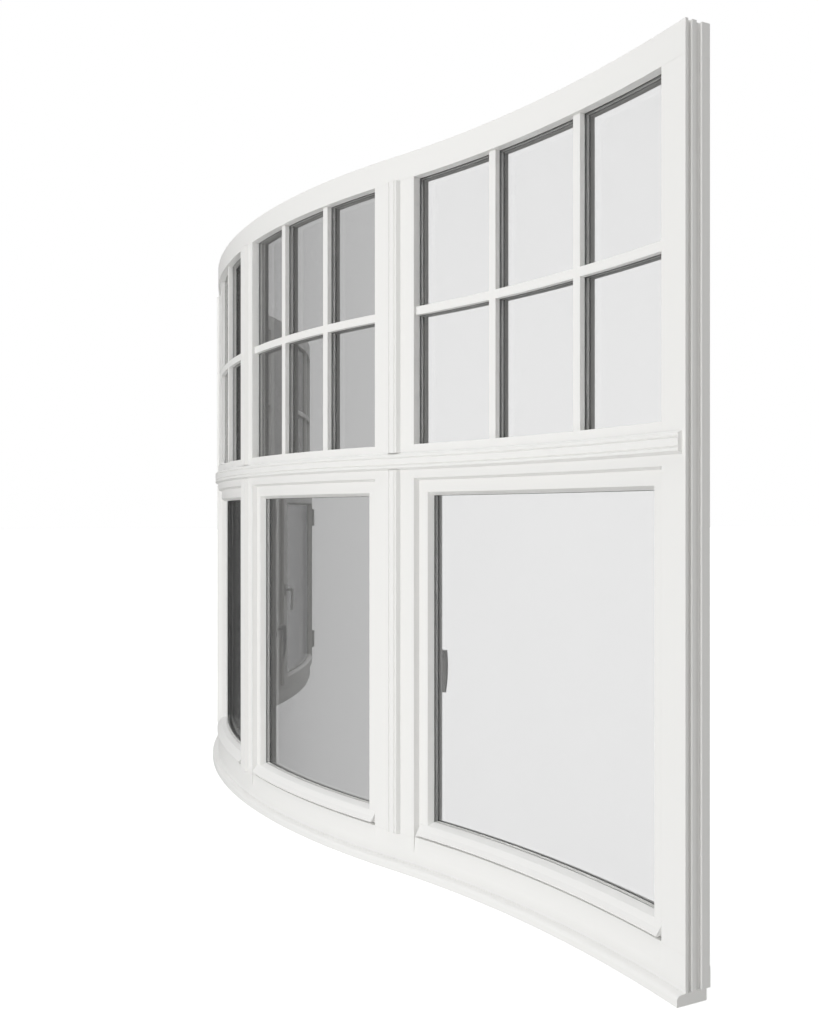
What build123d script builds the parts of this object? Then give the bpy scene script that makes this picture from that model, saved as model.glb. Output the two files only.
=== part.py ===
"""Curved bay window: five lights on an S-shaped plan, a bow between two flared ends.

Millimetres.  X runs along the window, outside is -Y, +Z is up.  The origin is on the
underside of the sill, in the middle of the middle light and of the frame's thickness.

A place on the curved wall is given by three numbers: a station, measured along the outer
face of the frame, a depth, measured from that face towards the room, and a height.
"""

import os
from math import cos, degrees, radians, sin

from build123d import *

# ---- plan ------------------------------------------------------------------------------
bow_radius = 2318.0  # outer face of the three middle lights, convex towards outside
bow_light_length = 858.0  # one middle light, mullion centre to mullion centre
flare_radius = 2520.0  # outer face of an end light, concave towards outside
flare_length = 996.0  # mullion centre to the free end of the frame
frame_depth = 64.0  # outer face to room face

# ---- heights ---------------------------------------------------------------------------
window_height = 1990.0
sill_height = 99.0
head_height = 71.0
transom_bottom = 1089.0
transom_height = 93.0

# ---- frame members ---------------------------------------------------------------------
end_mullion_width = 150.0  # where the bow meets a flare
bow_mullion_width = 128.0
jamb_width = 72.0
lip_depth = 15.0  # front lip that a sash closes against
lip_splay = 6.0  # the lip's reveal slopes in by this much over its depth
sash_overlap = 10.0  # how far a sash goes behind the lip
sash_gap = 2.0  # clearance around a sash
glass_setback = 24.0  # outer face of the fixed glass behind the frame's face
unit_thickness = 24.0  # double-glazed unit
pane_thickness = 4.0
glass_bite = 8.0  # how far a pane goes into its groove
groove_clearance = 2.0  # from a pane's edge to the bottom of its groove

# ---- sill ------------------------------------------------------------------------------
nose_projection = 22.0
nose_height = 24.0
nose_round = 10.0  # radius of the nose's upper edge
nose_facets = 6
nose_slope = 1.0  # fall of the nose's top from the frame's face to its round
drip_groove_width = 3.0
drip_groove_setback = 6.0
sill_foot_depth = 55.0  # room side of the bottom board
sill_swell = 1.5  # the middle of the sill stands proud of the frame on the room side
sill_swell_top = 67.0
weathering_front = 56.0  # height of the slope's front edge within a light
weathering_depth = 5.0

# ---- grooves along the two free ends of the frame --------------------------------------
end_groove_depth = 7.0
outer_groove_start = 7.0
outer_groove_width = 10.5
inner_groove_start = 29.0
inner_groove_width = 14.0

# ---- upper lights ----------------------------------------------------------------------
bar_width = 23.0
bar_setback = 9.0
bar_inner_depth = 60.0
bar_core = 11.0  # the part of a bar that lies between two panes
bar_columns = 3
bar_rows = 2

# ---- sashes ----------------------------------------------------------------------------
sash_thickness = 63.0
sash_stile = 48.0  # members are measured to their front arris, before the bevel
sash_top_rail = 49.0
sash_bottom_rail = 34.0
sash_bevel = 9.0  # the bevels on both sides of the glass reach this far over it
sash_floor_gap = 3.0
sash_glass_setback = 17.0
weather_bar_height = 28.0
weather_bar_projection = 19.0
weather_bar_front = 3.0
weather_bar_lift = 6.0  # from the sash's bottom edge to the weather bar
weather_bar_end = 11.0  # kept back from each side of the clear opening
weather_bar_hollow = 1.5  # how far the bar's sloping face is dished

# ---- mouldings -------------------------------------------------------------------------
moulding_bottom = 1112.0
moulding_width = 48.0  # height of the long moulding and width of the upright strips
moulding_projection = 11.0
moulding_chamfer = 6.0
moulding_end = 10.0  # stops short of the free ends
bead_spacing = 20.0  # between the middles of a moulding's two grooves
bead_groove_width = 5.0
bead_groove_depth = 3.0

# ---- handles ---------------------------------------------------------------------------
handle_height = 594.0
rosette_width = 28.0
rosette_height = 60.0
rosette_thickness = 9.0
neck_diameter = 14.0
neck_length = 27.0
lever_length = 118.0
lever_above = 12.0  # from the neck's middle to the lever's upper end
lever_width = 18.0
lever_thickness = 12.0
lever_tip_thickness = 7.0
lever_bow = 6.0  # how far the lever's middle bows into the room

# ---- hinges ----------------------------------------------------------------------------
hinge_height = 100.0
hinge_inset = 130.0  # from the sash's end to the middle of the hinge
hinge_diameter = 14.0
leaf_width = 24.0
leaf_thickness = 2.5

over = 1.0  # a cut starts this far outside what it cuts

head_bottom = window_height - head_height
transom_top = transom_bottom + transom_height
moulding_top = moulding_bottom + moulding_width
half_light = bow_light_length / 2
half_bow = 3 * half_light
half_end_mullion = end_mullion_width / 2
half_bow_mullion = bow_mullion_width / 2
glass_groove = glass_bite + groove_clearance
sash_rebate = sash_overlap + sash_gap
sash_front = lip_depth
sash_back = sash_front + sash_thickness
sash_bottom = sill_height + sash_floor_gap
sash_top = transom_bottom + sash_overlap
bow_centre = (0.0, bow_radius - frame_depth / 2)
junction_angle = degrees(half_bow / bow_radius)
flare_centre = (
    bow_centre[0] + (bow_radius + flare_radius) * sin(radians(junction_angle)),
    bow_centre[1] - (bow_radius + flare_radius) * cos(radians(junction_angle)),
)


class Run:
    """One circular stretch of the wall; turn is +1 on the bow and -1 on a flare."""

    def __init__(self, centre, face_radius, start_angle, turn):
        self.centre = centre
        self.face_radius = face_radius
        self.start_angle = start_angle
        self.turn = turn

    def angle(self, station):
        """Angle about the centre, counted from -Y towards +X."""
        return self.start_angle + self.turn * degrees(station / self.face_radius)

    def radius(self, depth):
        return self.face_radius - self.turn * depth

    def axis(self):
        return Axis((*self.centre, 0), (0, 0, 1))

    def section_plane(self, angle):
        """Radial plane: local x is the radius and local y the height."""
        out = (sin(radians(angle)), -cos(radians(angle)), 0)
        return Plane(origin=(*self.centre, 0), x_dir=out, z_dir=(out[1], -out[0], 0))

    def plan_plane(self, station, depth, height):
        """Level plane at a place on the wall: x along it, y towards the room."""
        angle = radians(self.angle(station))
        r = self.radius(depth)
        origin = (self.centre[0] + r * sin(angle), self.centre[1] - r * cos(angle), height)
        along = (self.turn * cos(angle), self.turn * sin(angle), 0)
        return Plane(origin=origin, x_dir=along, z_dir=(0, 0, 1))


bow = Run(bow_centre, bow_radius, 0.0, 1)
flare = Run(flare_centre, flare_radius, 180.0 + junction_angle, -1)


def curved(run, start, end, outline, mode=Mode.ADD):
    """Turn an outline of (depth, height) points along the wall between two stations."""
    low, high = sorted((run.angle(start), run.angle(end)))
    with BuildSketch(run.section_plane(low)) as section:
        with BuildLine():
            Polyline([(run.radius(depth), height) for depth, height in outline], close=True)
        make_face()
    revolve(section.sketch, axis=run.axis(), revolution_arc=high - low, mode=mode)


def block(run, start, end, depths, heights, mode=Mode.ADD):
    """The piece of curved wall between two stations, two depths and two heights."""
    (front, back), (bottom, top) = depths, heights
    outline = [(front, bottom), (back, bottom), (back, top), (front, top)]
    curved(run, start, end, outline, mode)


def save(piece, name):
    piece.part.label = name
    export_step(piece.part, f"parts/{name}.step")


def save_mirrored(piece, name):
    """The same piece on the other half of the window."""
    with BuildPart() as twin:
        mirror(piece.part, about=Plane.YZ)
    save(twin, name)


# The right half of the window, seen from outside, and the middle light.  The left half
# mirrors it.  A clear opening is (run, its left station, its right station).
openings = {
    3: (bow, half_bow_mullion - half_light, half_light - half_bow_mullion),
    4: (bow, half_light + half_bow_mullion, half_bow - half_end_mullion),
    5: (flare, half_end_mullion, flare_length - jamb_width),
}
mirror_light = {4: 2, 5: 1}
mirror_mullion = {3: 2, 4: 1}

os.makedirs("parts", exist_ok=True)


def end_grooves(bottom, top):
    """The two upright grooves in the free end of the frame."""
    for start, width in (
        (outer_groove_start, outer_groove_width),
        (inner_groove_start, inner_groove_width),
    ):
        block(
            flare,
            flare_length - end_groove_depth,
            flare_length + over,
            (start, start + width),
            (bottom, top),
            mode=Mode.SUBTRACT,
        )


def upright(run, outline, heights, mode=Mode.ADD):
    """A straight upright prism on an outline of (station, depth) points."""
    bottom, top = heights
    corners = [run.plan_plane(station, depth, 0).origin for station, depth in outline]
    with BuildSketch(Plane.XY.offset(bottom)) as plan:
        with BuildLine():
            Polyline([(corner.X, corner.Y) for corner in corners], close=True)
        make_face()
    extrude(plan.sketch, amount=top - bottom, mode=mode)


past_lip = 1.2  # cuts along a reveal run on past the lip's back


def reveal_end(edge, side):
    """A place on the sloping reveal's plane, a little behind the lip."""
    return edge + side * past_lip * lip_splay, past_lip * lip_depth


def lip(run, edge, side, bottom):
    """The lip on one side of an opening; side is +1 where the opening lies to the right."""
    inner = edge + side * lip_splay
    block(run, edge, inner, (0, lip_depth), (bottom, transom_bottom))
    splay_cut(run, edge, side, (bottom, transom_bottom))


def splay_cut(run, edge, side, heights):
    """Take away what stands in front of the sloping reveal of a lip."""
    clear = edge + side * 2 * lip_splay
    outline = [(edge, -over), (edge, 0), reveal_end(edge, side)]
    outline += [(clear, past_lip * lip_depth), (clear, -over)]
    upright(run, outline, heights, mode=Mode.SUBTRACT)


# ---- head ------------------------------------------------------------------------------
with BuildPart() as head:
    curved(bow, 0, half_bow, [
        (0, head_bottom), (frame_depth, head_bottom),
        (frame_depth, window_height), (0, window_height),
    ])
    curved(flare, 0, flare_length, [
        (0, head_bottom), (frame_depth, head_bottom),
        (frame_depth, window_height), (0, window_height),
    ])
    end_grooves(head_bottom, window_height)
    for run, left, right in openings.values():
        block(
            run, left - glass_groove, right + glass_groove,
            (glass_setback, glass_setback + unit_thickness),
            (head_bottom, head_bottom + glass_groove),
            mode=Mode.SUBTRACT,
        )
    mirror(about=Plane.YZ)
save(head, "head")

# ---- sill ------------------------------------------------------------------------------
groove_back = drip_groove_setback + drip_groove_width
nose_front = -nose_projection
round_centre = (nose_front + nose_round, nose_height - nose_slope - nose_round)
sill_outline = [
    (nose_front, 0),
    (nose_front + drip_groove_setback, 0),
    (nose_front + drip_groove_setback, drip_groove_width),
    (nose_front + groove_back, drip_groove_width),
    (nose_front + groove_back, 0),
    (sill_foot_depth, 0),
    (sill_foot_depth, nose_height),
    (frame_depth + sill_swell, nose_height),
    (frame_depth + sill_swell, sill_swell_top),
    (frame_depth, sill_swell_top),
    (frame_depth, sill_height),
    (0, sill_height),
    (0, nose_height),
]
for step in range(nose_facets + 1):
    turned = radians(90 * step / nose_facets)
    sill_outline.append((
        round_centre[0] - nose_round * sin(turned),
        round_centre[1] + nose_round * cos(turned),
    ))
with BuildPart() as sill:
    curved(bow, 0, half_bow, sill_outline)
    curved(flare, 0, flare_length, sill_outline)
    end_grooves(nose_height, sill_height)
    for run, left, right in openings.values():
        curved(
            run, left, right,
            [(-over, weathering_front), (-over, sill_height + over),
             (weathering_depth, sill_height + over), (weathering_depth, sill_height),
             (0, weathering_front)],
            mode=Mode.SUBTRACT,
        )
    mirror(about=Plane.YZ)
save(sill, "sill")

# ---- end jambs -------------------------------------------------------------------------
with BuildPart() as end_jamb:
    inner_station = flare_length - jamb_width
    block(flare, inner_station, flare_length, (0, frame_depth), (sill_height, head_bottom))
    lip(flare, inner_station, -1, sill_height)
    end_grooves(sill_height, head_bottom)
    block(
        flare, inner_station, inner_station + sash_rebate,
        (lip_depth, frame_depth + over), (sill_height, sash_top + sash_gap),
        mode=Mode.SUBTRACT,
    )
    block(
        flare, inner_station - over, inner_station + glass_groove,
        (glass_setback, glass_setback + unit_thickness),
        (transom_top - glass_groove, head_bottom),
        mode=Mode.SUBTRACT,
    )
save(end_jamb, "end_jamb_right")
save_mirrored(end_jamb, "end_jamb_left")


def half_mullion_block(run, centre, side, width):
    """One side of a mullion, to the right of its middle for +1 and to the left for -1."""
    face = centre + side * width
    block(run, centre, face, (0, frame_depth), (sill_height, head_bottom))
    lip(run, face, side, sill_height)
    block(
        run, face - side * sash_rebate, face,
        (lip_depth, frame_depth + over), (sill_height, sash_top + sash_gap),
        mode=Mode.SUBTRACT,
    )
    block(
        run, face - side * glass_groove, face + side * over,
        (glass_setback, glass_setback + unit_thickness),
        (transom_top - glass_groove, head_bottom),
        mode=Mode.SUBTRACT,
    )


def bead_outline():
    """Section of the long moulding and of the strips: places across it and out from it."""
    half = moulding_width / 2
    points = [(-half, 0), (-half + moulding_chamfer, moulding_projection)]
    for middle in (-bead_spacing / 2, bead_spacing / 2):
        points.append((middle - bead_groove_width / 2, moulding_projection))
        points.append((middle, moulding_projection - bead_groove_depth))
        points.append((middle + bead_groove_width / 2, moulding_projection))
    points.append((half - moulding_chamfer, moulding_projection))
    points.append((half, 0))
    return points


mullions = {
    3: (bow, half_light, bow, half_light, half_bow_mullion),
    4: (bow, half_bow, flare, 0.0, half_end_mullion),
}
for number, (left_run, left_centre, right_run, right_centre, width) in mullions.items():
    with BuildPart() as mullion:
        half_mullion_block(left_run, left_centre, -1, width)
        half_mullion_block(right_run, right_centre, 1, width)
    save(mullion, f"mullion_{number}")
    save_mirrored(mullion, f"mullion_{mirror_mullion[number]}")

    half_strip = moulding_width / 2
    with BuildPart() as strip:
        for bottom, top in ((sill_height, moulding_bottom), (moulding_top, head_bottom)):
            with BuildSketch(left_run.plan_plane(left_centre, 0, bottom)) as plan:
                with BuildLine():
                    across = [(place, -out) for place, out in bead_outline()]
                    Polyline([(-half_strip, over)] + across + [(half_strip, over)], close=True)
                make_face()
            extrude(plan.sketch, amount=top - bottom)
        for run, start, end in (
            (left_run, left_centre - width, left_centre),
            (right_run, right_centre, right_centre + width),
        ):
            block(run, start, end, (0, 2 * over), (sill_height, head_bottom), mode=Mode.SUBTRACT)
    save(strip, f"mullion_strips_{number}")
    save_mirrored(strip, f"mullion_strips_{mirror_mullion[number]}")

# ---- transoms and their moulding -------------------------------------------------------
for number, (run, left, right) in openings.items():
    with BuildPart() as transom:
        block(run, left, right, (0, frame_depth), (transom_bottom, transom_top))
        curved(run, left, right, [
            (0, transom_bottom), (lip_depth, transom_bottom),
            (lip_depth, transom_bottom - lip_splay),
        ])
        for edge, side in ((left, 1), (right, -1)):
            behind = edge - side * over
            outline = [(edge, 0), reveal_end(edge, side)]
            outline += [(behind, past_lip * lip_depth), (behind, 0)]
            upright(
                run, outline, (transom_bottom - 2 * lip_splay, transom_bottom),
                mode=Mode.SUBTRACT,
            )
        block(
            run, left - over, right + over,
            (lip_depth, frame_depth + over), (transom_bottom, sash_top + sash_gap),
            mode=Mode.SUBTRACT,
        )
        block(
            run, left - over, right + over,
            (glass_setback, glass_setback + unit_thickness),
            (transom_top - glass_groove, transom_top + over),
            mode=Mode.SUBTRACT,
        )
    save(transom, f"transom_{number}")
    if number in mirror_light:
        save_mirrored(transom, f"transom_{mirror_light[number]}")

moulding_middle = moulding_bottom + moulding_width / 2
moulding_outline = [(-out, moulding_middle + place) for place, out in bead_outline()]
with BuildPart() as moulding:
    curved(bow, 0, half_bow, moulding_outline)
    curved(flare, 0, flare_length - moulding_end, moulding_outline)
    mirror(about=Plane.YZ)
save(moulding, "transom_moulding")


def bar_stations(left, right):
    """Middles of the upright bars: the panes between them are equally wide."""
    pane = (right - left - (bar_columns - 1) * bar_width) / bar_columns
    return [left + index * pane + (index - 0.5) * bar_width for index in range(1, bar_columns)]


def bar_heights():
    pane = (head_bottom - transom_top - (bar_rows - 1) * bar_width) / bar_rows
    return [
        transom_top + index * pane + (index - 0.5) * bar_width for index in range(1, bar_rows)
    ]


def bars(run, left, right, width, depths, reach, mode=Mode.ADD):
    """The grid of glazing bars of one light, as wide and as deep as asked."""
    for station in bar_stations(left, right):
        block(
            run, station - width / 2, station + width / 2,
            depths, (transom_top - reach, head_bottom + reach), mode=mode,
        )
    for height in bar_heights():
        block(
            run, left - reach, right + reach,
            depths, (height - width / 2, height + width / 2), mode=mode,
        )


def panes(run, left, right, setback, heights):
    """The two panes of a double-glazed unit, reaching into the grooves around it."""
    bottom, top = heights
    for front in (setback, setback + unit_thickness - pane_thickness):
        block(
            run, left - glass_bite, right + glass_bite,
            (front, front + pane_thickness), (bottom - glass_bite, top + glass_bite),
        )


# ---- upper lights: fixed glass and glazing bars -----------------------------------------
for number, (run, left, right) in openings.items():
    glass_back = glass_setback + unit_thickness
    with BuildPart() as upper_glass:
        panes(run, left, right, glass_setback, (transom_top, head_bottom))
        bars(
            run, left, right, bar_core, (glass_setback - over, glass_back + over),
            glass_bite + over, mode=Mode.SUBTRACT,
        )
    with BuildPart() as glazing_bars:
        bars(run, left, right, bar_width, (bar_setback, glass_setback), 0)
        bars(run, left, right, bar_core, (glass_setback, glass_back), 0)
        bars(run, left, right, bar_width, (glass_back, bar_inner_depth), 0)
    save(upper_glass, f"upper_glass_{number}")
    save(glazing_bars, f"glazing_bars_{number}")
    if number in mirror_light:
        save_mirrored(upper_glass, f"upper_glass_{mirror_light[number]}")
        save_mirrored(glazing_bars, f"glazing_bars_{mirror_light[number]}")

# ---- sashes ----------------------------------------------------------------------------
def bevelled_hole(run, left, right, bottom, top):
    """A sash's opening: given at both faces, and narrower by the bevel along the glass."""
    steps = [
        (sash_front - sash_thickness, 0), (sash_front, 0), (unit_front, sash_bevel),
        (sash_back - sash_glass_setback, sash_bevel), (sash_back, 0),
        (sash_back + sash_thickness, 0),
    ]
    section = [(depth, bottom + reach) for depth, reach in steps]
    section += [(depth, top - reach) for depth, reach in reversed(steps)]
    outline = [(left + reach, depth) for depth, reach in steps]
    outline += [(right - reach, depth) for depth, reach in reversed(steps)]
    with BuildPart() as hole:
        curved(run, left - sash_bevel, right + sash_bevel, section)
        upright(run, outline, (bottom - over, top + over), mode=Mode.INTERSECT)
    return hole.part


glass_bottom = sash_bottom + sash_bottom_rail + sash_bevel
glass_top = sash_top - sash_top_rail - sash_bevel
unit_front = sash_front + sash_glass_setback
for number, (run, left, right) in openings.items():
    sash_left = left - sash_overlap
    sash_right = right + sash_overlap
    glass_left = sash_left + sash_stile + sash_bevel
    glass_right = sash_right - sash_stile - sash_bevel
    with BuildPart() as sash:
        block(run, sash_left, sash_right, (sash_front, sash_back), (sash_bottom, sash_top))
        hole = bevelled_hole(
            run, sash_left + sash_stile, sash_right - sash_stile,
            sash_bottom + sash_bottom_rail, sash_top - sash_top_rail,
        )
        add(hole, mode=Mode.SUBTRACT)
        block(
            run, glass_left - glass_groove, glass_right + glass_groove,
            (unit_front, unit_front + unit_thickness),
            (glass_bottom - glass_groove, glass_top + glass_groove),
            mode=Mode.SUBTRACT,
        )
        bar_bottom = sash_bottom + weather_bar_lift
        curved(run, left + weather_bar_end, right - weather_bar_end, [
            (sash_front, bar_bottom),
            (sash_front, bar_bottom + weather_bar_height),
            (
                sash_front - weather_bar_projection / 2,
                bar_bottom + (weather_bar_height + weather_bar_front) / 2 - weather_bar_hollow,
            ),
            (sash_front - weather_bar_projection, bar_bottom + weather_bar_front),
            (sash_front - weather_bar_projection, bar_bottom),
        ])
    with BuildPart() as sash_glass:
        panes(run, glass_left, glass_right, unit_front, (glass_bottom, glass_top))
    save(sash, f"sash_{number}")
    save(sash_glass, f"sash_glass_{number}")
    if number in mirror_light:
        save_mirrored(sash, f"sash_{mirror_light[number]}")
        save_mirrored(sash_glass, f"sash_glass_{mirror_light[number]}")

# ---- handles: on the left stile of the middle light and of the right half ----------------
for number, (run, left, right) in openings.items():
    station = left - sash_overlap + sash_stile / 2
    level = run.plan_plane(station, sash_back, handle_height)
    into_room = Plane(origin=level.origin, x_dir=level.x_dir, z_dir=level.y_dir)
    with BuildPart() as handle:
        with BuildSketch(into_room.offset(-over)):
            SlotOverall(rosette_height, rosette_width, rotation=90)
        extrude(amount=rosette_thickness + over)
        block(
            run, station - rosette_width, station + rosette_width,
            (sash_back - 2 * over, sash_back),
            (handle_height - rosette_height, handle_height + rosette_height),
            mode=Mode.SUBTRACT,
        )
        with BuildSketch(into_room.offset(rosette_thickness)):
            Circle(neck_diameter / 2)
        extrude(amount=neck_length - rosette_thickness + lever_thickness / 2)
        side_view = Plane(origin=level.origin, x_dir=level.y_dir, z_dir=level.x_dir)
        lever_tip = lever_above - lever_length
        lever_back = neck_length + lever_thickness
        with BuildSketch(side_view) as lever:
            with BuildLine():
                inner = ThreePointArc(
                    (neck_length, lever_above),
                    (neck_length + lever_bow, (lever_above + lever_tip) / 2),
                    (neck_length, lever_tip),
                )
                outer = ThreePointArc(
                    (neck_length + lever_tip_thickness, lever_tip),
                    (lever_back + lever_bow / 2, (lever_above + lever_tip) / 2),
                    (lever_back, lever_above),
                )
                Line(inner @ 1, outer @ 0)
                Line(outer @ 1, inner @ 0)
            make_face()
        extrude(lever.sketch, amount=lever_width / 2, both=True)
    save(handle, f"handle_{number}")
    if number in mirror_light:
        save_mirrored(handle, f"handle_{mirror_light[number]}")

# ---- hinges: on the right stile ----------------------------------------------------------
for number, (run, left, right) in openings.items():
    edge = right + sash_overlap
    with BuildPart() as hinges:
        for middle in (sash_bottom + hinge_inset, sash_top - hinge_inset):
            bottom = middle - hinge_height / 2
            heights = (bottom, bottom + hinge_height)
            block(run, edge - leaf_width, edge, (sash_back, sash_back + leaf_thickness), heights)
            block(
                run, edge + sash_gap, edge + sash_gap + leaf_width,
                (frame_depth, frame_depth + leaf_thickness), heights,
            )
            block(
                run, edge + sash_gap, edge + sash_gap + leaf_thickness,
                (frame_depth, sash_back + leaf_thickness), heights,
            )
            barrel_depth = sash_back + hinge_diameter / 2
            with BuildSketch(run.plan_plane(edge + sash_gap / 2, barrel_depth, bottom)) as ring:
                Circle(hinge_diameter / 2)
            extrude(ring.sketch, amount=hinge_height)
    save(hinges, f"hinges_{number}")
    if number in mirror_light:
        save_mirrored(hinges, f"hinges_{mirror_light[number]}")
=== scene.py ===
"""Looks for the curved bay window: white painted timber and lightly tinted double glazing."""

from math import cos, pi, radians, sin

import bpy
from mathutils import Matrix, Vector


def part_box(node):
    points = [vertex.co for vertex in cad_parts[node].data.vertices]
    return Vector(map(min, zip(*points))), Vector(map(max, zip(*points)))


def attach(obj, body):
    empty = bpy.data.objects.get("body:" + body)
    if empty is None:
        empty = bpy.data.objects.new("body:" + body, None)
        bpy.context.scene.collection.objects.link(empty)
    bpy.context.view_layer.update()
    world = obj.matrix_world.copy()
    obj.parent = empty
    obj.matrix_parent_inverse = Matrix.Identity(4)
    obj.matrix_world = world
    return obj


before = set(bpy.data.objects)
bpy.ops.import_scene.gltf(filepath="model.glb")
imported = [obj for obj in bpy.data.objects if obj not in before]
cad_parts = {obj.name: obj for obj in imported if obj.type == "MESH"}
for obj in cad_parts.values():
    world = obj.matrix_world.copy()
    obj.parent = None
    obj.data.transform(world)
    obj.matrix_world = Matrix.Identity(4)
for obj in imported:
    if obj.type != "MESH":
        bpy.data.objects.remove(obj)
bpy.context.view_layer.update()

# ---- the wall's plan, in metres, as the CAD has it ----------------------------------------------
# Lights are counted from the left as seen from outside. A station runs along the front face from
# its light's own left end, and a depth runs inward from that face.
LEFT_FLARE, RIGHT_FLARE = 1, 5
BOW_LIGHTS = range(2, 5)
MIDDLE_LIGHT = 3
BOW_RADIUS = 2.318
BOW_LIGHT = 0.858
FLARE_RADIUS = 2.520
FLARE_LENGTH = 0.996
FRAME_DEPTH = 0.064
HALF_END_MULLION = 0.075
HALF_BOW_MULLION = 0.064
JAMB = 0.072
HALF_BOW = BOW_LIGHT * len(BOW_LIGHTS) / 2
BOW_CENTRE = (0.0, BOW_RADIUS - FRAME_DEPTH / 2)
JUNCTION = HALF_BOW / BOW_RADIUS  # angle from the bow's middle to a flare
FLARE_CENTRE = (
    (BOW_RADIUS + FLARE_RADIUS) * sin(JUNCTION),
    BOW_CENTRE[1] - (BOW_RADIUS + FLARE_RADIUS) * cos(JUNCTION),
)

# ---- the glazed openings ------------------------------------------------------------------------
COLUMNS, ROWS = 3, 2  # panes of an upper light
BAR = 0.023
UNIT = 0.024  # thickness of a double-glazed unit
PANE = 0.004
UPPER_SETBACK = 0.024  # from the front face to an upper light's units
SASH_SETBACK = 0.032  # from the front face to a sash's unit
SASH_REVEAL = 0.047  # from the side of a light's clear opening to the sash's glass
SASH_BOTTOM_RAIL = 0.043  # from the sash's bottom to its glass
SASH_TOP_RAIL = 0.058  # from the glass to the sash's top


def place(number, station, depth, height):
    """The point of a light's wall at a station, a depth and a height."""
    if number in BOW_LIGHTS:
        centre, radius = BOW_CENTRE, BOW_RADIUS - depth
        angle = ((number - MIDDLE_LIGHT) * BOW_LIGHT - BOW_LIGHT / 2 + station) / BOW_RADIUS
        return Vector((centre[0] + radius * sin(angle), centre[1] - radius * cos(angle), height))
    side = 1 if number == RIGHT_FLARE else -1
    along = station if number == RIGHT_FLARE else FLARE_LENGTH - station
    angle = pi + JUNCTION - along / FLARE_RADIUS
    radius = FLARE_RADIUS + depth
    x = FLARE_CENTRE[0] + radius * sin(angle)
    return Vector((side * x, FLARE_CENTRE[1] - radius * cos(angle), height))


def clear_stations(number):
    """The two sides of a light's clear opening."""
    if number == RIGHT_FLARE:
        return HALF_END_MULLION, FLARE_LENGTH - JAMB
    if number == LEFT_FLARE:
        return JAMB, FLARE_LENGTH - HALF_END_MULLION
    left = HALF_END_MULLION if number == BOW_LIGHTS[0] else HALF_BOW_MULLION
    right = HALF_END_MULLION if number == BOW_LIGHTS[-1] else HALF_BOW_MULLION
    return left, BOW_LIGHT - right


def add_object(name, data):
    added = bpy.data.objects.new(name, data)
    bpy.context.scene.collection.objects.link(added)
    return added


# ---- shader nodes -------------------------------------------------------------------------------
WHITE = (1.0, 1.0, 1.0)
# A Mix node's sockets for numbers and for colours, which share their names.
NUMBER_A, NUMBER_B, NUMBER_RESULT = 2, 3, 0
COLOUR_A, COLOUR_B, COLOUR_RESULT = 6, 7, 2


def new_material(name):
    material = bpy.data.materials.new(name)
    material.use_nodes = True
    nodes, links = material.node_tree.nodes, material.node_tree.links
    return material, nodes, links, nodes["Principled BSDF"]


def calculate(nodes, links, operation, *values):
    """One sum on sockets or numbers."""
    node = nodes.new("ShaderNodeMath")
    node.operation = operation
    for socket, value in zip(node.inputs, values):
        if isinstance(value, (int, float)):
            socket.default_value = value
        else:
            links.new(value, socket)
    return node.outputs[0]


def ramp(nodes, links, value, inputs, outputs):
    """A number that goes evenly from one output to the other between two inputs."""
    node = nodes.new("ShaderNodeMapRange")
    links.new(value, node.inputs["Value"])
    node.inputs["From Min"].default_value, node.inputs["From Max"].default_value = inputs
    node.inputs["To Min"].default_value, node.inputs["To Max"].default_value = outputs
    return node.outputs["Result"]


def add_noise(nodes, scale, detail):
    noise = nodes.new("ShaderNodeTexNoise")
    noise.inputs["Scale"].default_value = scale
    noise.inputs["Detail"].default_value = detail
    return noise


def mix_numbers(nodes, links, share, first, second):
    mix = nodes.new("ShaderNodeMix")
    links.new(share, mix.inputs["Factor"])
    links.new(first, mix.inputs[NUMBER_A])
    links.new(second, mix.inputs[NUMBER_B])
    return mix.outputs[NUMBER_RESULT]


def mix_colours(nodes, links, share, first, second):
    mix = nodes.new("ShaderNodeMix")
    mix.data_type = "RGBA"
    links.new(share, mix.inputs["Factor"])
    mix.inputs[COLOUR_A].default_value = (*first, 1)
    mix.inputs[COLOUR_B].default_value = (*second, 1)
    return mix.outputs[COLOUR_RESULT]


def mix_shaders(nodes, links, share, first, second):
    mix = nodes.new("ShaderNodeMixShader")
    links.new(share, mix.inputs["Fac"])
    links.new(first, mix.inputs[1])
    links.new(second, mix.inputs[2])
    return mix.outputs[0]


# ---- brushed coats: timber, fittings and spacers ------------------------------------------------
ARRIS = 0.0013  # radius that the edges are shaded with
ARRIS_SAMPLES = 4
DRIFT_SCALE = 3.0
DRIFT_DETAIL = 4.0
DRIFT_SHARE = 0.985  # the darkest of the drift, as a share of the colour
BRUSH_STRETCH = (260.0, 260.0, 9.0)  # fine across the piece and long in height
BRUSH_DETAIL = 3.0
BRUSH_DEPTH = 0.0004
SMOOTHER, ROUGHER = 0.06, 0.08  # how far the brush marks take the roughness each way


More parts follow.
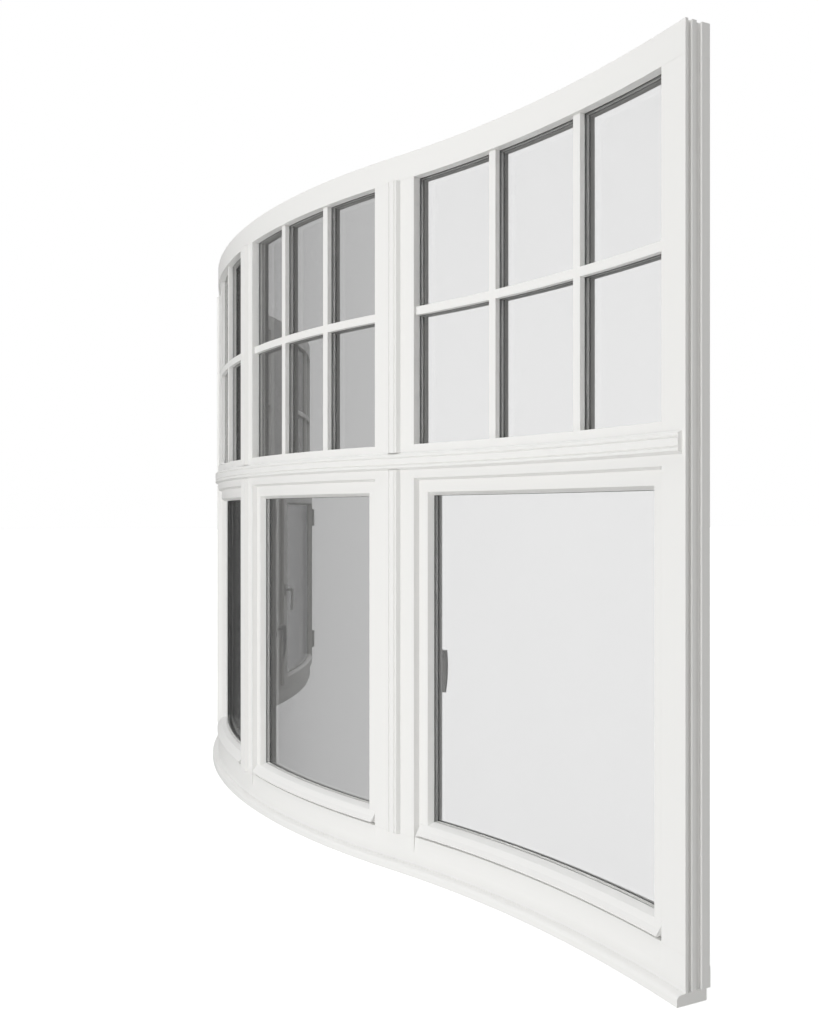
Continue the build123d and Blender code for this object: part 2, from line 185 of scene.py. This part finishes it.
def painted(name, colour, roughness, grain):
    """A brushed coat: faint colour drift, upright brush marks in gloss and relief, eased edges."""
    material, nodes, links, shader = new_material(name)
    where = nodes.new("ShaderNodeTexCoord").outputs["Object"]

    drift = add_noise(nodes, DRIFT_SCALE, DRIFT_DETAIL)
    links.new(where, drift.inputs["Vector"])
    darkest = [channel * DRIFT_SHARE for channel in colour]
    tint = mix_colours(nodes, links, drift.outputs["Fac"], darkest, colour)
    links.new(tint, shader.inputs["Base Color"])

    stretch = nodes.new("ShaderNodeMapping")
    stretch.inputs["Scale"].default_value = BRUSH_STRETCH
    links.new(where, stretch.inputs["Vector"])
    brush = add_noise(nodes, 1.0, BRUSH_DETAIL)
    links.new(stretch.outputs["Vector"], brush.inputs["Vector"])
    marks = brush.outputs["Fac"]
    span = (roughness - SMOOTHER, roughness + ROUGHER)
    links.new(ramp(nodes, links, marks, (0.0, 1.0), span), shader.inputs["Roughness"])

    bump = nodes.new("ShaderNodeBump")
    bump.inputs["Strength"].default_value = grain
    bump.inputs["Distance"].default_value = BRUSH_DEPTH
    links.new(marks, bump.inputs["Height"])
    eased = nodes.new("ShaderNodeBevel")
    eased.samples = ARRIS_SAMPLES
    eased.inputs["Radius"].default_value = ARRIS
    links.new(eased.outputs["Normal"], bump.inputs["Normal"])
    links.new(bump.outputs["Normal"], shader.inputs["Normal"])
    return material


# ---- glass --------------------------------------------------------------------------------------
GLASS_DARKER = (0.895, 0.895, 0.895)
GLASS_LIGHTER = (0.905, 0.905, 0.905)
GLASS_DRIFT_SCALE = 1.7
GLASS_DRIFT_DETAIL = 2.0
GLASS_IOR = 1.5
GLASS_SHADOW = (0.82, 0.82, 0.82, 1)  # what each surface lets through of a lamp's light


def clear_glass(name):
    """Smooth panes with a faint grey tint, which let the lamps' light through."""
    material, nodes, links, shader = new_material(name)
    film = add_noise(nodes, GLASS_DRIFT_SCALE, GLASS_DRIFT_DETAIL).outputs["Fac"]
    tint = mix_colours(nodes, links, film, GLASS_DARKER, GLASS_LIGHTER)
    links.new(tint, shader.inputs["Base Color"])
    shader.inputs["Roughness"].default_value = 0.0
    shader.inputs["IOR"].default_value = GLASS_IOR
    shader.inputs["Transmission Weight"].default_value = 1.0
    shadow = nodes.new("ShaderNodeLightPath").outputs["Is Shadow Ray"]
    clear = nodes.new("ShaderNodeBsdfTransparent")
    clear.inputs["Color"].default_value = GLASS_SHADOW
    look = mix_shaders(nodes, links, shadow, shader.outputs["BSDF"], clear.outputs["BSDF"])
    links.new(look, nodes["Material Output"].inputs["Surface"])
    return material


# ---- the materials, and what each CAD node is made of -------------------------------------------
paint = painted("white_paint", (0.862, 0.860, 0.847), roughness=0.42, grain=0.03)
fitting = painted("white_fitting", (0.78, 0.78, 0.775), roughness=0.30, grain=0.04)
glass = clear_glass("window_glass")
spacer_outer = painted("spacer_outer", (0.17, 0.17, 0.167), roughness=0.5, grain=0.05)
# painted light: a pale colour for the spacers' bottom bands, standing in for light falling on them
# from above
spacer_painted_light = painted("spacer_painted_light", (0.80, 0.80, 0.77), roughness=0.5, grain=0.05)
spacer_metal = painted("spacer_metal", (0.42, 0.42, 0.41), roughness=0.35, grain=0.05)
spacer_inner = painted("spacer_inner", (0.12, 0.12, 0.118), roughness=0.5, grain=0.05)


def material_for(name):
    """What a CAD node is made of, going by its name."""
    if "glass" in name:
        return glass
    if name.startswith(("handle", "hinges")):
        return fitting
    return paint


for name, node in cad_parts.items():
    node.data.materials.clear()
    node.data.materials.append(material_for(name))

# ---- spacers inside the double-glazed units -----------------------------------------------------
SPACER_METAL = 0.0095  # where the metal band starts, behind the unit's front
SPACER_INNER = 0.0145  # where the inner band starts
SPACER_LIFT = 0.0006  # how far a band stands into the opening
BAND_GAP = 0.0002  # between a band and what is in front of it
BAND_THICKNESS = 0.004
CURVE_STEP = 0.03  # about how long a straight part of the curve is

# Each band's name, its first and second materials, and its two depths in the unit. The second
# material goes along the bottom. For the outer and metal bands it is a pale painted light, as if
# that bottom band were lit from above.
SPACER_BANDS = (
    ("outer", (spacer_outer, spacer_painted_light), (PANE, SPACER_METAL)),
    ("metal", (spacer_metal, spacer_painted_light), (SPACER_METAL, SPACER_INNER)),
    ("inner", (spacer_inner, spacer_inner), (SPACER_INNER, UNIT - PANE)),
)


def curved_steps(left, right):
    """Stations from one side to the other, close enough for the curve to look smooth."""
    count = max(2, round((right - left) / CURVE_STEP))
    between = [left + (right - left) * index / count for index in range(1, count)]
    return [left, *between, right]


def ring(name, number, sides, heights, depths, materials):
    """A thin band facing into a pane's opening, all round it, between two depths.

    It has the second material along the bottom and the first one elsewhere. The outer and metal
    spacer bands use this second material as painted light along their bottoms.
    """
    left, right = sides
    bottom, top = heights
    inner = [(station, bottom) for station in curved_steps(left, right)]
    inner += [(station, top) for station in reversed(curved_steps(left, right))]
    outer = []
    for station, height in inner:
        outward = {left: -BAND_THICKNESS, right: BAND_THICKNESS}.get(station, 0)
        upward = -BAND_THICKNESS if height == bottom else BAND_THICKNESS
        outer.append((station + outward, height + upward))
    verts = [
        tuple(place(number, station, depth, height))
        for outline in (inner, outer) for depth in depths for station, height in outline
    ]
    count = len(inner)
    bottom_steps = count // 2 - 1
    # Where the four loops of points start: the inner and the outer one, each at both depths.
    in_front, in_back, out_front, out_back = (loop * count for loop in range(4))
    faces, slots = [], []
    for here in range(count):
        after = (here + 1) % count
        # Towards the opening, away from it, the front edge and the back edge.
        faces += [
            (in_front + here, in_front + after, in_back + after, in_back + here),
            (out_front + here, out_back + here, out_back + after, out_front + after),
            (in_front + here, out_front + here, out_front + after, in_front + after),
            (in_back + here, in_back + after, out_back + after, out_back + here),
        ]
        # the bottom faces take the second material, which on the outer and metal spacer bands is
        # painted light
        slots += [1 if here < bottom_steps else 0] * 4
    mesh = bpy.data.meshes.new(name)
    mesh.from_pydata(verts, [], faces)
    for material in materials:
        mesh.materials.append(material)
    for face, slot in zip(mesh.polygons, slots):
        face.material_index = slot
    return add_object(name, mesh)


def join(name, parts):
    """One piece out of several, on the window's one body."""
    with bpy.context.temp_override(
        active_object=parts[0], object=parts[0],
        selected_objects=parts, selected_editable_objects=parts,
    ):
        bpy.ops.object.join()
    parts[0].name = name
    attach(parts[0], "root")


def glazed_openings(number):
    """The two sides, the bottom and top, and the setback of each of a light's glazed units."""
    left, right = clear_stations(number)
    head_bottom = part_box("head")[0][2]
    transom_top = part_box(f"transom_{number}")[1][2]
    wide = (right - left - (COLUMNS - 1) * BAR) / COLUMNS
    tall = (head_bottom - transom_top - (ROWS - 1) * BAR) / ROWS
    openings = []
    for column in range(COLUMNS):
        for row in range(ROWS):
            side = left + column * (wide + BAR)
            bottom = transom_top + row * (tall + BAR)
            openings.append(((side, side + wide), (bottom, bottom + tall), UPPER_SETBACK))
    sash_low, sash_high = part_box(f"sash_{number}")
    openings.append((
        (left + SASH_REVEAL, right - SASH_REVEAL),
        (sash_low[2] + SASH_BOTTOM_RAIL, sash_high[2] - SASH_TOP_RAIL),
        SASH_SETBACK,
    ))
    return openings


def add_spacers(number):
    """The spacers of a light's units, with one piece for each band."""
    openings = glazed_openings(number)
    for band, materials, (start, stop) in SPACER_BANDS:
        rings = [
            ring(
                f"spacer_{band}_{number}_{index}", number,
                (sides[0] + SPACER_LIFT, sides[1] - SPACER_LIFT),
                (heights[0] + SPACER_LIFT, heights[1] - SPACER_LIFT),
                (setback + start + BAND_GAP, setback + stop), materials,
            )
            for index, (sides, heights, setback) in enumerate(openings)
        ]
        join(f"spacer_{band}_{number}", rings)


for light in (LEFT_FLARE, *BOW_LIGHTS, RIGHT_FLARE):
    add_spacers(light)

# ---- floor --------------------------------------------------------------------------------------
FLOOR_REACH = 60.0
FLOOR_DROP = 0.001
FLOOR_COLOUR = (0.72, 0.72, 0.72, 1)
FLOOR_ROUGHNESS = 0.9
FLOOR_GLOW = 0.62  # brings the lit floor up to the white of the background


def floor_material():
    """A pale floor that takes the window's shadow."""
    material, *_, shader = new_material("pale_floor")
    shader.inputs["Base Color"].default_value = FLOOR_COLOUR
    shader.inputs["Roughness"].default_value = FLOOR_ROUGHNESS
    shader.inputs["Specular IOR Level"].default_value = 0.0
    shader.inputs["Emission Color"].default_value = (*WHITE, 1)
    shader.inputs["Emission Strength"].default_value = FLOOR_GLOW
    return material


def add_floor():
    """A floor that only the camera sees, so that it doesn't light the window."""
    corners = [
        (across * FLOOR_REACH, along * FLOOR_REACH, -FLOOR_DROP)
        for across, along in ((-1, -1), (1, -1), (1, 1), (-1, 1))
    ]
    mesh = bpy.data.meshes.new("floor")
    mesh.from_pydata(corners, [], [(0, 1, 2, 3)])
    mesh.materials.append(floor_material())
    floor = add_object("floor", mesh)
    floor.visible_glossy = False
    floor.visible_diffuse = False
    floor.visible_shadow = False
    floor.visible_transmission = False


# ---- world: one strength of white by direction for each kind of ray -----------------------------
FRONT = Vector((0.0, -1.0, 0.05)).normalized()  # where the soft light is brightest
FRONT_EXTRA = 0.42  # how much brighter it is there than the fill
FILL = 0.17  # its level all round
MIRRORED = 0.04  # what is mirrored of the front
MIRRORED_EXTRA = 0.36  # how much more is mirrored of the room side
# What glass shows, by how much of the direction, from 0 to 1, points across the window.
SIDEWAYS_TO_ACROSS = (0.256, 0.279)  # goes from the first level to the second
ACROSS_TO_RISEN = (0.279, 0.52)  # goes on up by the rise
SEEN_SIDEWAYS = 0.735
SEEN_ACROSS = 1.16
SEEN_RISE = 0.06
# Soft light that reaches a surface through glass: strong from the room, to fill the reveals.
THROUGH_FROM_FRONT = 0.8
THROUGH_FROM_ROOM = 4.0
ANY_BOUNCE = 0.5  # a ray's count of bounces above this is one or more


def front_light(nodes, links, direction):
    """Brightest from in front, falling to an even fill at the sides and behind."""
    facing = nodes.new("ShaderNodeVectorMath")
    facing.operation = "DOT_PRODUCT"
    links.new(direction, facing.inputs[0])
    facing.inputs[1].default_value = FRONT
    lobe = calculate(nodes, links, "MAXIMUM", facing.outputs["Value"], 0.0)
    return calculate(nodes, links, "MULTIPLY_ADD", lobe, FRONT_EXTRA, FILL)


def through_glass(nodes, links, y, room_side, diffuse_depth):
    """Grey along the window and bright across it, with its own levels for soft light."""
    across = calculate(nodes, links, "ABSOLUTE", y)
    step = ramp(nodes, links, across, SIDEWAYS_TO_ACROSS, (SEEN_SIDEWAYS, SEEN_ACROSS))
    rise = ramp(nodes, links, across, ACROSS_TO_RISEN, (0.0, SEEN_RISE))
    view = calculate(nodes, links, "ADD", step, rise)
    levels = (THROUGH_FROM_FRONT, THROUGH_FROM_ROOM)
    soft_light = ramp(nodes, links, room_side, (0.0, 1.0), levels)
    is_soft = calculate(nodes, links, "GREATER_THAN", diffuse_depth, ANY_BOUNCE)
    return mix_numbers(nodes, links, is_soft, view, soft_light)


def is_mirrored(nodes, links, rays):
    """Whether a ray was mirrored: just now, or earlier on its way through glass."""
    # A ray that goes straight through clear glass counts as glossy too, so that isn't enough.
    just_now = calculate(
        nodes, links, "MULTIPLY", rays["Is Glossy Ray"], rays["Is Reflection Ray"],
    )
    bounced = calculate(nodes, links, "GREATER_THAN", rays["Glossy Depth"], ANY_BOUNCE)
    earlier = calculate(nodes, links, "MULTIPLY", rays["Is Transmission Ray"], bounced)
    return calculate(nodes, links, "MAXIMUM", just_now, earlier)


def add_background(nodes, links, strength=None):
    """White at full strength, or at the strength given."""
    background = nodes.new("ShaderNodeBackground")
    background.inputs["Color"].default_value = (*WHITE, 1)
    if strength is not None:
        links.new(strength, background.inputs["Strength"])
    return background.outputs[0]


def lit_world():
    """A broad soft light from in front; white where the camera sees past the window."""
    world = bpy.data.worlds.new("studio")
    bpy.context.scene.world = world
    world.use_nodes = True
    nodes, links = world.node_tree.nodes, world.node_tree.links
    nodes.remove(nodes["Background"])
    rays = nodes.new("ShaderNodeLightPath").outputs
    direction = nodes.new("ShaderNodeTexCoord").outputs["Generated"]
    axes = nodes.new("ShaderNodeSeparateXYZ")
    links.new(direction, axes.inputs[0])
    y = axes.outputs["Y"]
    room_side = calculate(nodes, links, "GREATER_THAN", y, 0.0)

    light = add_background(nodes, links, front_light(nodes, links, direction))
    past = add_background(nodes, links)
    glazed = through_glass(nodes, links, y, room_side, rays["Diffuse Depth"])
    through = add_background(nodes, links, glazed)
    reflection = calculate(nodes, links, "MULTIPLY_ADD", room_side, MIRRORED_EXTRA, MIRRORED)
    mirror = add_background(nodes, links, reflection)

    lit = mix_shaders(nodes, links, rays["Is Camera Ray"], light, past)
    lit = mix_shaders(nodes, links, rays["Is Transmission Ray"], lit, through)
    lit = mix_shaders(nodes, links, is_mirrored(nodes, links, rays), lit, mirror)
    links.new(lit, nodes["World Output"].inputs["Surface"])


# ---- lamps --------------------------------------------------------------------------------------
WARM = (1.0, 0.985, 0.95)
KEY_TURN = radians(27)  # from straight in front towards the right


def add_sun(name, source, energy, spread, colour=WHITE):
    """A distant lamp that shines from a direction and isn't seen in or through glass."""
    data = bpy.data.lights.new(name, "SUN")
    data.color = colour
    data.energy = energy
    data.angle = radians(spread)
    lamp = add_object(name, data)
    lamp.rotation_euler = Vector(source).to_track_quat("Z", "Y").to_euler()
    lamp.visible_glossy = False
    lamp.visible_transmission = False


add_floor()
lit_world()
add_sun("key", (sin(KEY_TURN), -cos(KEY_TURN), 0.25), energy=1.15, spread=25)
add_sun("ceiling", (0.0, -0.1, 1.0), energy=1.3, spread=40)
add_sun("bounce", (0.3, -0.6, -0.7), energy=0.85, spread=60, colour=WARM)
add_sun("side", (1.0, 0.1, 0.0), energy=0.42, spread=50, colour=WARM)
add_sun("room", (-0.6, 0.8, 0.3), energy=1.25, spread=40)

# ---- camera -------------------------------------------------------------------------------------
CAMERA = (3.907, -0.447, 0.990)
HEADING = radians(73.24)  # turned left from facing +Y
LENS, SENSOR = 35.0, 36.0  # in millimetres
SHIFT = 0.001855  # upwards, as a share of the image's height

camera_data = bpy.data.cameras.new("camera")
camera_data.lens = LENS
camera_data.sensor_width = SENSOR
camera_data.shift_y = SHIFT
camera = add_object("camera", camera_data)
camera.location = CAMERA
camera.rotation_euler = (radians(90), 0, HEADING)
bpy.context.scene.camera = camera
bpy.context.scene.view_settings.view_transform = "Standard"
